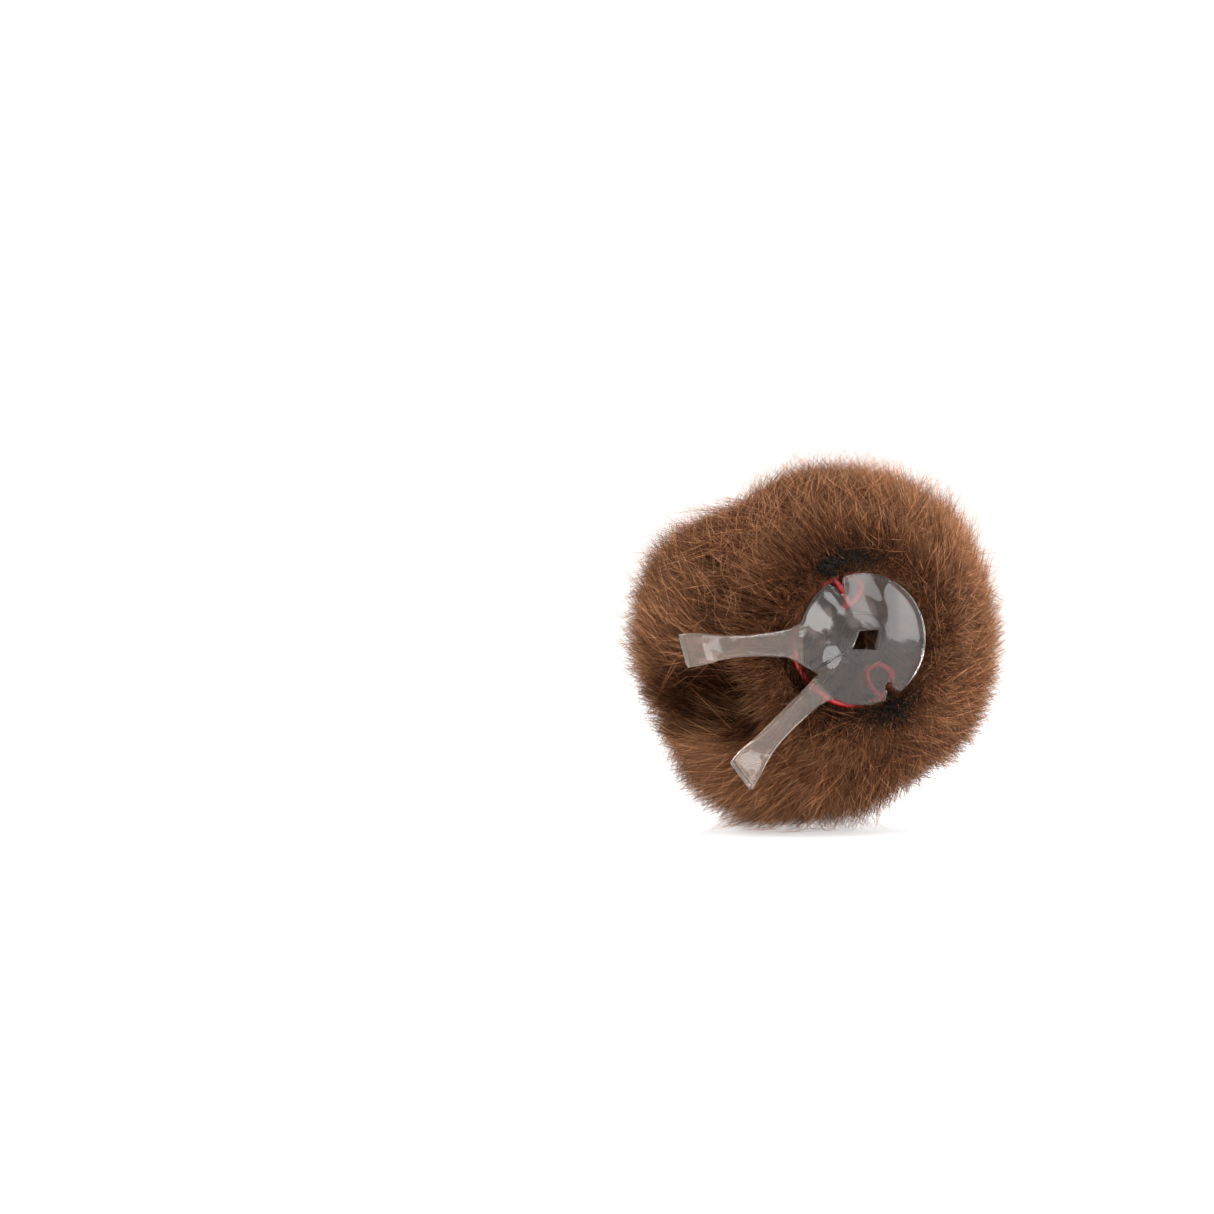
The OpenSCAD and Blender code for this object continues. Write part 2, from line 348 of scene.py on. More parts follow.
# Where the pile is parted: place, half sizes and how much of a strand's length stays. Strands inside are
# painted the darkest shades: painted shade in the two hollows by the legs, and at the two tack partings
# dark fur that stands for the black thread among it.
HOLLOWS = (
    (-14.4, -7.6, 6.8, 4.6, 0.10),
    (-9.8, -5.2, 3.8, 3.2, 0.20),
    (-1.9, 9.0, 4.2, 1.5, 0.75),
    (3.9, -8.4, 3.0, 1.8, 0.75),
)
PAINTED_SHADE_PATCH = (-10.5, 8.0, 9.0, 11.0)  # painted shade: where strands are coloured darker for the shade of a deeper pile: place and spread
SIDE = direction(SEAM_ANGLE + 90)  # square to the sewn seam, towards the legs
PILE = BALL * (1.095, 1.035, 1.05)  # half sizes of the ball with its loose tips
VIEW_TURN = math.radians(VIEW_AZIMUTH)
VIEW_RIGHT = np.array([math.cos(VIEW_TURN), 0, -math.sin(VIEW_TURN)])

# Fullness round the ball as the mouth sees it: angle and half width in degrees, share of its radius
FULLNESS = (
    (54, 20, 0.115), (10, 14, 0.030), (119, 18, -0.110), (152, 16, 0.040), (178, 10, 0.030),
    (284, 13, 0.050), (311, 9, -0.060), (335, 12, 0.010), (243, 18, 0.105), (204, 12, -0.055),
)


def ball_lumps(u):
    """Uneven fullness of the pile, as a share of the ball's radius."""
    waves = (
        (0.012, (2.1, 1.3, -0.7), 0.4),
        (0.010, (-1.6, 2.7, 1.1), 2.1),
        (0.010, (3.9, -2.2, 2.4), 4.0),
        (0.009, (-4.4, -3.7, 3.0), 1.2),
    )
    total = np.zeros(len(u))
    for size, way, phase in waves:
        total += size * np.sin(u @ np.array(way) * 1.9 + phase)
    across = u @ VIEW_RIGHT
    turn = np.degrees(np.arctan2(u[:, 1], across))
    rim = smoothstep(0.45, 0.9, np.hypot(u[:, 1], across))
    for angle, width, size in FULLNESS:
        gap = (turn - angle + 180) % 360 - 180
        total += size * rim * np.exp(-((gap / width) ** 2))
    return total


def flow(u):
    """The way the pile leans over the unit ball: from the mouth, from the dome and along the nap."""
    theta = np.degrees(np.arccos(np.clip(u[:, 2], -1, 1)))
    around = unit(np.stack([u[:, 0], u[:, 1], np.zeros(len(u))], axis=1))
    down = unit(around * u[:, 2:3] - np.array([0, 0, 1]) * np.sqrt(1 - np.clip(u[:, 2:3], -1, 1) ** 2))
    from_mouth = 1 - smoothstep(74, 112, theta)
    from_dome = smoothstep(104, 140, theta) * (1 - 0.9 * smoothstep(152, 176, theta))
    left = smoothstep(0.15, 0.6, -u[:, 0]) * smoothstep(-0.45, 0.0, u[:, 1]) * from_mouth
    comb = COMB + left[:, None] * np.array([0.25, 0.75, 0])
    comb = comb - (comb * u).sum(1, keepdims=True) * u
    lean = down * (1.05 * from_mouth - from_dome)[:, None] * (1 - 0.6 * left)[:, None] + comb
    across = u @ SIDE
    parting = 0.4 * np.exp(-((across * BALL_R / 2.6) ** 2))
    return lean + (SIDE - across[:, None] * u) * (np.sign(across) * parting)[:, None]


def ball_reach(u):
    """How far the pile reaches along u, as a share of the ball's radius."""
    across = (u @ SIDE) * BALL_R
    front = smoothstep(-0.9, -0.2, u[:, 2])
    dent = 0.05 * np.exp(-((across / 1.9) ** 2)) * front
    return 1.018 + ball_lumps(u) - dent


def root_points(n):
    """Roots and normals, on the folded hem for the first of them and then all over the backing."""
    on_hem = n // HEM_PART
    turn = rng.uniform(0, 2 * math.pi, on_hem)
    open_side = np.exp(-(((np.degrees(turn) - 230) / 45) ** 6))  # the cord shows here, beside the legs
    tilt = np.radians(rng.uniform(-50, 115, on_hem) * (1 - 0.25 * open_side))
    out = round_axis(1, turn, 0)
    hem_normals = out * np.cos(tilt)[:, None] + np.array([0, 0, 1]) * np.sin(tilt)[:, None]
    hem_roots = out * HEM_R + np.array([0, 0, HEM_Z]) + hem_normals * HEM_SECTION

    n -= on_hem
    mouth_cos = (HEM_Z - 1.0 - BAG_C[2]) / BAG[2]
    k = np.arange(n) + 0.5
    cos = mouth_cos - (mouth_cos + 1) * (k / n) ** 1.12
    turn = k * math.pi * (3 - math.sqrt(5)) + rng.normal(0, 0.25, n)
    cos = np.clip(cos + rng.normal(0, 0.01, n), -1, mouth_cos)
    sin = np.sqrt(1 - cos**2)
    d = round_axis(sin, turn, cos)
    roots = np.concatenate([hem_roots, BAG_C + d * BAG])
    return roots, np.concatenate([hem_normals, unit(d / BAG)])


def nearest(points, centres):
    tree = kdtree.KDTree(len(centres))
    for i, c in enumerate(centres):
        tree.insert(c, i)
    tree.balance()
    return np.array([tree.find(p)[1] for p in points])


def part_hollow(line):
    """Pushes strands apart where the pile is parted on the mouth side, and says which stay inside, to be
    painted dark: painted shade in the hollows, and fur darkened among the black thread at the tacks.
    """
    painted_shade_and_thread_dark = np.zeros(len(line), bool)
    length = np.ones(len(line))
    for x, y, half_w, half_h, kept in HOLLOWS:
        size = np.array([half_w, half_h]) * 1.25
        offset = (line[..., :2] - (x, y)) / size
        away = np.linalg.norm(offset, axis=-1, keepdims=True)
        inside = (away < 1) & (line[..., 2:3] > BALL_C[2])
        strength = smoothstep(0.15, 0.9, STEPS)[None, :, None]
        pushed = offset / np.maximum(away, 1e-6) * np.maximum(away, 0.02) ** (1 - 0.75 * strength)
        moved = (x, y) + pushed * size
        line[..., :2] = np.where(inside, moved, line[..., :2])
        line[..., 2:3] -= np.where(inside, np.clip(1 - away, 0, 1) * 3.5 * strength, 0)
        middle = (line[:, 2, :2] - (x, y)) / (half_w, half_h)
        far = np.linalg.norm(middle, axis=-1) + rng.normal(0, 0.12, len(line))
        front = line[:, 2, 2] > BALL_C[2]
        length *= np.where(front, kept + (1 - kept) * smoothstep(0.35, 1.15, far), 1.0)
        painted_shade_and_thread_dark |= (far < 0.95) & front
    roots = line[:, :1].copy()
    return roots + (line - roots) * length[:, None, None], painted_shade_and_thread_dark


def pile_front(x, y):
    """Height of the pile's front surface over a place in the mouth plane."""
    gap = (x**2 + (y - BALL_C[1]) ** 2) / PILE[0] ** 2
    return BALL_C[2] + PILE[2] * np.sqrt(np.clip(1 - gap, 0.02, 1))


def press_on_floor(line):
    rest = FLOOR_Y + 0.12
    under = np.clip(rest + 0.5 - line[..., 1], 0, None)
    lift = under - 0.5 * (1 - np.exp(-under / 0.5))
    spread = unit(line * np.array([1, 0, 1]) - BALL_C * np.array([0, 0, 1]))
    line[..., 1] += lift
    line[..., [0, 2]] += spread[..., [0, 2]] * lift[..., None] * 0.5
    line[..., 1] = np.maximum(line[..., 1], rest)
    return line


def curl_of(n, size):
    """Small sideways waves of each strand, none at its root."""
    phase = rng.uniform(0, 2 * math.pi, (n, 1, 1))
    s = STEPS[None, :, None]
    return rng.normal(0, size, (n, 1, 3)) * np.sin(s * 5.5 + phase) * s


def grow(n):
    """Strands as (n, rings, 3) points, with each strand's shade and thickness."""
    roots, normals = root_points(n)
    order = rng.permutation(n)
    locks = order[: n // LOCK_SIZE]
    tufts = order[: n // TUFT_SIZE]
    lock_of = nearest(roots, roots[locks])
    tuft_of = nearest(roots, roots[tufts])

    guard = rng.random(n) < GUARD_SHARE
    tuft_lean = rng.normal(0, 0.46, (len(tufts), 3))[tuft_of]
    lock_lean = rng.normal(0, 0.44, (len(locks), 3))[lock_of]
    own_lean = rng.normal(0, 1, (n, 3)) * np.where(guard, 0.9, 0.50)[:, None]
    u = unit((roots - BALL_C) / PILE)
    lean = flow(u) + tuft_lean + lock_lean + own_lean
    lean -= (lean * u).sum(1, keepdims=True) * u
    amount = np.linalg.norm(lean, axis=1)
    turn = np.radians(LEAN_TURN) * np.clip(amount, 0.3, 1.4)
    turn[: n // HEM_PART] *= rng.uniform(0.25, 1.0, n // HEM_PART)
    lean_way = unit(lean)
    tip_u = unit(u * np.cos(turn)[:, None] + lean_way * np.sin(turn)[:, None])
    short = np.abs(rng.normal(0, 0.038, n)) + 0.18 * rng.random(n) ** 3
    stray = np.where(rng.random(n) < 0.05, rng.random(n) * 0.045, 0)
    lock_short = rng.uniform(0, 0.07, len(locks))[lock_of] + rng.uniform(0, 0.06, len(tufts))[tuft_of]
    reach = ball_reach(tip_u) - np.where(guard, -0.01, short + lock_short) + stray
    tips = BALL_C + tip_u * PILE * reach[:, None]

    gather = 0.45 * smoothstep(0.0, 0.7, rng.random(n))[:, None] * ~guard[:, None]
    lock_tips = tips[locks][lock_of] + rng.normal(0, 0.30, (n, 3))
    tips = tips * (1 - gather) + lock_tips * gather

    span = np.linalg.norm(tips - roots, axis=1, keepdims=True)
    b = roots + normals * span * 0.42
    c = tips - unit(lean_way * 0.85 + tip_u * 0.40) * span * 0.34
    s = STEPS[None, :, None]
    line = (
        roots[:, None] * (1 - s) ** 3
        + b[:, None] * 3 * s * (1 - s) ** 2
        + c[:, None] * 3 * s**2 * (1 - s)
        + tips[:, None] * s**3
    )
    line, painted_shade_and_thread_dark = part_hollow(line + curl_of(n, 0.32))
    line = press_on_floor(line)

    tuft_shade = rng.normal(0, 0.75, len(tufts))[tuft_of]
    lock_shade = rng.normal(0, 0.90, len(locks))[lock_of]
    # Painted shade: on the mouth side, strands near this patch are coloured darker for the shade of a
    # deeper pile.
    x, y, half_w, half_h = PAINTED_SHADE_PATCH
    middle = line[:, 2]
    painted_shade_weight = np.exp(-(((middle[:, 0] - x) / half_w) ** 2) - ((middle[:, 1] - y) / half_h) ** 2)
    painted_shade_weight = painted_shade_weight * (middle[:, 2] > BALL_C[2])
    shade = np.rint(2.35 - 2.5 * painted_shade_weight + tuft_shade + lock_shade + rng.normal(0, 1.0, n))
    shade = np.clip(shade, 0, len(FIBRE_SHADES) - 1).astype(int)
    # Painted shade: strands inside a hollow take the darkest shades for the shade deep in it; at the tack
    # partings the same darkening stands for the black thread among the fur.
    shade[painted_shade_and_thread_dark] = np.minimum(shade[painted_shade_and_thread_dark], (rng.random(painted_shade_and_thread_dark.sum()) < 0.15).astype(int))
    shade[guard & ~painted_shade_and_thread_dark] = len(FIBRE_SHADES) - 1
    thick = rng.uniform(0.70, 1.30, n)
    return line, shade, thick


def mouth_fringe(n):
    """Short strands that rise from the hem over the elastic and up to the disc's rim."""
    angle = rng.uniform(-85, 275, n)
    free = np.interp(angle, [-85, 135, 165, 186, 272, 275], [1, 1, 0.6, 0.6, 0.6, 1])
    for tack in TACK_ANGLES:
        gap = (angle - tack + 180) % 360 - 180
        free = free * (1 - 0.6 * np.exp(-((gap / 15) ** 2)))
    angle = np.radians(angle[rng.random(n) < free])
    n = len(angle)
    out = round_axis(1, angle, 0)
    around = np.stack([-np.sin(angle), np.cos(angle), np.zeros(n)], axis=1)
    up = np.array([0.0, 0.0, 1.0])
    open_side = np.exp(-(((np.degrees(angle) - 230) / 46) ** 8))[:, None]  # the cord shows here
    tilt = np.radians(rng.uniform(25, 150, (n, 1)) * (1 - 0.40 * open_side))
    normals = out * np.cos(tilt) + up * np.sin(tilt)
    roots = out * HEM_R + up * HEM_Z + normals * HEM_SECTION
    under_rim = rng.random((n, 1)) < 0.30 * (1 - open_side)
    reach = np.where(under_rim, rng.uniform(-2.6, -0.6, (n, 1)), 0.3 + 7.0 * rng.random((n, 1)) ** 1.4)
    outward = np.clip(reach, 0, 6)
    tips = roots + out * reach + around * rng.normal(0, 1.0, (n, 1))
    tips = tips + COMB * outward * 0.5 * (1 - open_side)
    height = pile_front(tips[:, :1], tips[:, 1:2]) + rng.uniform(-1.4, 0.3, (n, 1))
    tips[:, 2:] = np.where(under_rim, tips[:, 2:] + rng.uniform(0.4, 1.1, (n, 1)), height)
    rise = rng.uniform(0.6, 1.6, (n, 1)) * (1 - 0.7 * open_side)
    lift = normals * 0.5 + up * rise + out * outward * 0.3
    s = STEPS[None, :, None]
    bend = (roots + lift)[:, None]
    line = roots[:, None] * (1 - s) ** 2 + bend * 2 * s * (1 - s) + tips[:, None] * s**2
    line = line + curl_of(n, 0.16)
    flat = np.hypot(line[..., 0], line[..., 1])
    clear = np.where(line[..., 2] > -0.85, DISC_R + 0.14, DISC_R - 1.1)
    line[..., :2] *= (np.maximum(flat, clear) / flat)[..., None]
    shade = np.clip(np.rint(rng.normal(1.9, 1.2, n)), 0, 5).astype(int)
    return line, shade, rng.uniform(0.6, 1.1, n)


def strand_piece(name, line, shade, thick):
    """One mesh of three-sided tapered strands, coloured ring by ring."""
    n, rings = line.shape[:2]
    body = rings - 1
    along = unit(np.gradient(line, axis=1))
    aside = unit(np.cross(along, np.array([0.3, 0.5, 0.8]) + rng.normal(0, 0.4, (n, 1, 3))))
    other = np.cross(along, aside)
    width = STRAND_W * thick[:, None] * (1 - 0.72 * STEPS[None, :] ** 1.6) / 2
    corner = np.arange(3) * 2 * math.pi / 3
    ring = line[:, :body, None] + width[:, :body, None, None] * (
        np.cos(corner)[None, None, :, None] * aside[:, :body, None]
        + np.sin(corner)[None, None, :, None] * other[:, :body, None]
    )
    verts = np.concatenate([ring.reshape(n, body * 3, 3), line[:, -1:]], axis=1)
    per = body * 3 + 1
    k = np.arange(3)
    band = np.stack([k, (k + 1) % 3, 3 + (k + 1) % 3, 3 + k], 1)
    quads = np.concatenate([band + 3 * r for r in range(body - 1)])
    last = 3 * (body - 1)
    tops = np.stack([last + k, last + (k + 1) % 3, np.full(3, per - 1)], 1)
    base = (np.arange(n) * per)[:, None]
    corners = np.concatenate([quads.reshape(1, -1) + base, tops.reshape(1, -1) + base], axis=1)
    sizes = np.tile(np.array([4] * len(quads) + [3] * 3), n)
    zones = len(FIBRE_ZONES)
    zone = np.array([min(r, zones - 1) for r in range(body - 1) for _ in range(3)] + [zones - 1] * 3)
    index = (shade[:, None] * zones + zone[None, :]).reshape(-1)

    mesh = bpy.data.meshes.new(name)
    mesh.vertices.add(n * per)
    mesh.vertices.foreach_set("co", row(verts).reshape(-1).astype(np.float32))
    mesh.loops.add(corners.size)
    mesh.loops.foreach_set("vertex_index", corners.reshape(-1).astype(np.int32))
    mesh.polygons.add(len(sizes))
    starts = np.concatenate([[0], np.cumsum(sizes)[:-1]])
    mesh.polygons.foreach_set("loop_start", starts.astype(np.int32))
    for m in fibre:
        mesh.materials.append(m)
    mesh.polygons.foreach_set("material_index", index.astype(np.int32))
    mesh.polygons.foreach_set("use_smooth", np.ones(len(sizes), bool))
    mesh.update(calc_edges=True)
    return add_object(name, mesh)


def shell_faces(rows, cols, sign):
    """Faces of a closed shell of two skins, each a grid of points that runs from the mouth to the dome.

    The sign is 1 where the columns run anticlockwise, seen from the mouth.
    """
    width, layer = cols + 1, (rows + 1) * (cols + 1)
    faces = []
    for i in range(rows):
        for j in range(cols):
            q = [i * width + j, i * width + j + 1, (i + 1) * width + j + 1, (i + 1) * width + j]
            faces.append(q[::-sign])
            faces.append([layer + v for v in q][::sign])
        for j, flip in ((0, 1), (cols, -1)):
            q = [i * width + j, (i + 1) * width + j, layer + (i + 1) * width + j, layer + i * width + j]
            faces.append(q[:: -sign * flip])
    for j in range(cols):
        faces.append([j, layer + j, layer + j + 1, j + 1][::-sign])
    return faces


def underlayer(side):
    """The dense dark underfur of one gore, a closed shell with a mouth."""
    steps_t, steps_a = 40, 48
    mouth = math.radians(40)
    verts = []
    sign = TURN_WAY[side]
    for skin in (0.78, 0.68):
        for i in range(steps_t + 1):
            t = mouth + (math.pi - mouth) * i / steps_t
            for j in range(steps_a + 1):
                a = math.radians(SEAM_ANGLE) + sign * math.pi * j / steps_a
                u = np.array([[math.sin(t) * math.cos(a), math.sin(t) * math.sin(a), math.cos(t)]])
                p = BALL_C + u[0] * BALL * skin * float(ball_reach(u)[0])
                p[1] = max(p[1], FLOOR_Y + 1.2)
                p += 0.25 * math.sin(7 * t + 3 * a) * u[0]
                verts.append(p)
    faces = shell_faces(steps_t, steps_a, sign)
    return make_object(f"underfur_{side}", row(np.array(verts)), faces, [underfur])


def add_fur():
    grown, fringe = grow(STRANDS), mouth_fringe(STRANDS // 9)
    line, shade, thick = (np.concatenate(pair) for pair in zip(grown, fringe))
    middle = line[:, 0] @ SIDE
    for side, chosen in (("left", middle >= 0), ("right", middle < 0)):
        node = f"fur_{side}"
        picked = np.flatnonzero(chosen)
        for k, start in enumerate(range(0, len(picked), PIECE_STRANDS)):
            some = picked[start : start + PIECE_STRANDS]
            piece = strand_piece(f"pile_{side}_{k:02d}", line[some], shade[some], thick[some])
            stand_for(piece, "fur", node)
        stand_for(underlayer(side), "fur", node)


add_fur()


# ---- silicone ----

DOME_R = 25.55  # radius of the disc's middle surface
CURL_START, CURL_R = 15.0, 12.0
NOTCH_END, NOTCH_HALF = 5.7, 0.95
SLIT_ANGLE, SLIT_HALF = 210, 0.02
LEG_ROOT_HALF = 2.3  # half width of a leg's flared root at the rim
LEG_ROOT_X = math.sqrt(DISC_R**2 - LEG_ROOT_HALF**2)
CROTCH = np.array([-5.2, -3.9])  # where the legs part
# Each leg's two root half widths, its reach when flattened, the slant of its tip and its twist in degrees
LEGS = {
    "leg_left": (LEG_ROOT_HALF, 2.67, 22.1, -0.62, 0),
    "leg_lower": (0.96, LEG_ROOT_HALF, 21.55, 0.36, -32),
}
WINDOW = np.array([(-0.75, 1.02), (1.85, 1.08), (1.30, -1.22), (-1.60, -1.10)])
OVAL_C, OVAL = (-3.9, -1.9), (1.35, 1.8)  # the shallow level oval by the slit: centre and half sizes
EDGE_R, FINE_EDGE_R = 0.30, 0.03  # rounding of the outer edges and of the window and slit
GRID = 0.26


def bezier(points, n):
    """n points of the curve with the given control points."""
    t = np.linspace(0, 1, n)[:, None]
    p = [np.broadcast_to(q, (n, 2)) for q in np.array(points, float)]
    while len(p) > 1:
        p = [before * (1 - t) + after * t for before, after in zip(p, p[1:])]
    return p[0]


def turned(points, degrees):
    a = math.radians(degrees)
    p = np.asarray(points, float)
    x, y = p[..., 0], p[..., 1]
    return np.stack([x * math.cos(a) - y * math.sin(a), x * math.sin(a) + y * math.cos(a)], axis=-1)


def rim_arc(start, end):
    """Points of the disc's rim strictly between two angles."""
    n = max(2, int(abs(end - start) / 1.6))
    a = np.radians(np.linspace(start, end, n))[1:-1]
    return np.stack([DISC_R * np.cos(a), DISC_R * np.sin(a)], axis=1)


def notch_outline(angle):
    """A rim notch with a round inner end."""
    rim_x = math.sqrt(DISC_R**2 - NOTCH_HALF**2)
    near = bezier([(rim_x, -NOTCH_HALF), (rim_x - 0.3, -NOTCH_HALF + 0.12), (NOTCH_END + 0.9, -0.40)], 8)
    a = np.radians(np.linspace(-100, -260, 9))
    end = np.stack([NOTCH_END + 0.38 + 0.38 * np.cos(a), 0.38 * np.sin(a)], axis=1)
    return turned(np.concatenate([near, end, (near * (1, -1))[::-1]]), angle)


def leg_side(root, reach):
    """One long side of a leg, from its root out to its tip."""
    rim = DISC_R
    neck = (rim + 1.7, min(1.52, 1.05 * root))
    waist = (rim + 7.6, 1.24)
    root_curve = bezier([(LEG_ROOT_X, root), (rim + 0.4, 0.45 * root + 0.55 * neck[1]), neck], 8)
    shank = bezier([neck, (rim + 4.2, (neck[1] + 1.16) / 2), (rim + 5.0, 1.16), waist], 14)
    flare = bezier([waist, (rim + 10.0, 1.33), (rim + 11.2, 1.95), (reach, 1.92)], 14)
    return np.concatenate([root_curve[:-1], shank[:-1], flare])


def leg_outline(name):
    """A leg walked out along one side, across its slanted tip and back along the other."""
    low_root, high_root, reach, slant, _ = LEGS[name]
    low, high = leg_side(low_root, reach) * (1, -1), leg_side(high_root, reach)
    low[:, 0] -= slant * smoothstep(DISC_R + 8, reach, low[:, 0])
    high[:, 0] += slant * smoothstep(DISC_R + 8, reach, high[:, 0])
    cap = np.linspace(low[-1], high[-1], 14)[1:-1]
    return turned(np.concatenate([low, cap, high[::-1]]), LEG_ANGLES[name])


def cross_point(p, d, q, e):
    """Where the line through p along d meets the line through q along e."""
    t = ((q[0] - p[0]) * e[1] - (q[1] - p[1]) * e[0]) / (d[0] * e[1] - d[1] * e[0])
    return p + t * d


def window_outline(gap_start):
    """In along the slit from the gap between the legs, round the slanted window and back out."""
    way = direction(SLIT_ANGLE)[:2]
    aside = np.array([-way[1], way[0]]) * SLIT_HALF
    gap_side, left_side = CROTCH - gap_start, WINDOW[0] - WINDOW[3]
    outer = [cross_point(shift, way, CROTCH, gap_side) for shift in (-aside, aside)]
    inner = [cross_point(shift, way, WINDOW[3], left_side) for shift in (-aside, aside)]
    walk = [np.linspace(outer[0], inner[0], 22)]
    for k, corner in enumerate(WINDOW):
        back, ahead = unit(WINDOW[k - 1] - corner), unit(WINDOW[(k + 1) % 4] - corner)
        walk.append(bezier([corner + back * 0.2, corner, corner + ahead * 0.2], 5))
        if k < 3:
            walk.append(np.linspace(corner, WINDOW[k + 1], 9)[2:-2])
    walk.append(np.linspace(inner[1], outer[1], 22))
    return np.concatenate(walk)


def silicone_outline():
    """The moulding's edge as one closed walk, with the rounding of each point's edge."""
    notch_turn = math.degrees(math.asin(NOTCH_HALF / DISC_R))
    leg_turn = math.degrees(math.asin(LEG_ROOT_HALF / DISC_R))
    upper, lower_tack = TACK_ANGLES
    left, lower = LEG_ANGLES.values()
    left_leg, lower_leg = [leg_outline(name) for name in LEGS]
    inner = window_outline(left_leg[-1])
    parts = [
        rim_arc(lower_tack - 360 + notch_turn, upper - notch_turn),
        notch_outline(upper),
        rim_arc(upper + notch_turn, left - leg_turn),
        left_leg,
        np.linspace(left_leg[-1], inner[0], 6)[1:-1],
        inner,
        np.linspace(inner[-1], CROTCH, 5)[1:],
        np.linspace(CROTCH, lower_leg[0], 5)[1:-1],
        lower_leg,
        rim_arc(lower + leg_turn, lower_tack - notch_turn),
        notch_outline(lower_tack),
    ]
    edges = [np.full(len(p), FINE_EDGE_R if p is inner else EDGE_R) for p in parts]
    return np.concatenate(parts), np.concatenate(edges)


def inside(points, loop):
    """Which points lie inside a closed loop."""
    a, b = loop, np.roll(loop, -1, axis=0)
    x, y = points[:, 0:1], points[:, 1:2]
    spans = (a[:, 1] > y) != (b[:, 1] > y)
    rise = np.where(b[:, 1] == a[:, 1], 1e-12, b[:, 1] - a[:, 1])
    crosses = x < a[:, 0] + (y - a[:, 1]) * (b[:, 0] - a[:, 0]) / rise
    return (spans & crosses).sum(1) % 2 == 1


def edge_distance(points, loop):
    """Distance from each point to the loop, and which of its edges is nearest."""
    a, b = loop, np.roll(loop, -1, axis=0)
    along = b - a
    offset = points[:, None] - a[None]
    t = np.clip((offset * along).sum(-1) / np.maximum((along**2).sum(-1), 1e-12), 0, 1)
    gap = np.linalg.norm(offset - t[..., None] * along, axis=-1)
    return gap.min(1), gap.argmin(1)


def leg_chord(name):
    """Points across a leg's root, where its mesh meets the disc's, with both ends."""
    low_root, high_root = LEGS[name][:2]
    y = np.linspace(-low_root, high_root, 19)
    return turned(np.stack([np.full(len(y), LEG_ROOT_X), y], axis=1), LEG_ANGLES[name])


def middle_surface(p):
    """The moulding's middle surface over its flattened outline: a dome with legs that curl up."""
    flat = np.hypot(p[:, 0], p[:, 1])
    dome = np.sqrt(DOME_R**2 - np.minimum(flat, 12.0) ** 2) - math.sqrt(DOME_R**2 - DISC_R**2)
    z = np.log1p(np.exp(np.clip(dome * 7, -30, 30))) / 7
    out = np.stack([p[:, 0], p[:, 1], z], axis=1)
    for name, angle in LEG_ANGLES.items():
        q = turned(p, -angle)
        on_leg = (q[:, 0] > CURL_START) & (np.abs(q[:, 1]) < 3)
        a = (q[on_leg, 0] - CURL_START) / CURL_R
        curled = turned(np.stack([CURL_START + CURL_R * np.sin(a), q[on_leg, 1]], axis=1), angle)
        out[on_leg, :2] = curled
        out[on_leg, 2] += CURL_R * (1 - np.cos(a))
        rolled = np.abs(q[:, 1]) < 3
        along = q[rolled, 0]
        twist = smoothstep(8.6, 13.0, along) * (1 - smoothstep(14.5, 20.5, along))
        out[rolled, 2] += math.sin(math.radians(LEGS[name][4])) * q[rolled, 1] * twist
    return out


def normals_of(surface, p):
    """Normals of one of the surfaces here, over places of the flattened outline."""
    step = 0.02
    east, west = surface(p + (step, 0)), surface(p - (step, 0))
    north, south = surface(p + (0, step)), surface(p - (0, step))
    return unit(np.cross(east - west, north - south))


def moulded_relief(p):
    """Low waves of the front face, a crease on its right and a shallow level oval by the slit."""
    x, y = p[:, 0], p[:, 1]
    waves = 0.022 * np.sin(1.1 * x + 0.7 * y + 0.6) + 0.018 * np.sin(1.5 * y - 0.8 * x + 2.0)
    waves += 0.014 * np.sin(2.3 * x + 1.9 * y)
    crease = x - 2.1 - 0.035 * (y - 2.0) ** 2
    waves *= 1 - 0.8 * smoothstep(-0.3, 0.6, crease)
    waves -= 0.065 * np.log1p(np.exp(np.clip(crease * 6, -30, 30))) / 6
    right, up = x - OVAL_C[0], y - OVAL_C[1]
    oval = 1 - smoothstep(0.78, 1.0, np.hypot(right / OVAL[0], up / OVAL[1]))
    level = 0.8 * (right**2 + up**2) / (2 * DOME_R) + 0.041 * right - 0.157 * up - 0.05
    return waves * (1 - oval) + level * oval


def front_surface(p):
    rise = SILICONE_T / 2 + moulded_relief(p)
    return middle_surface(p) + normals_of(middle_surface, p) * rise[:, None]


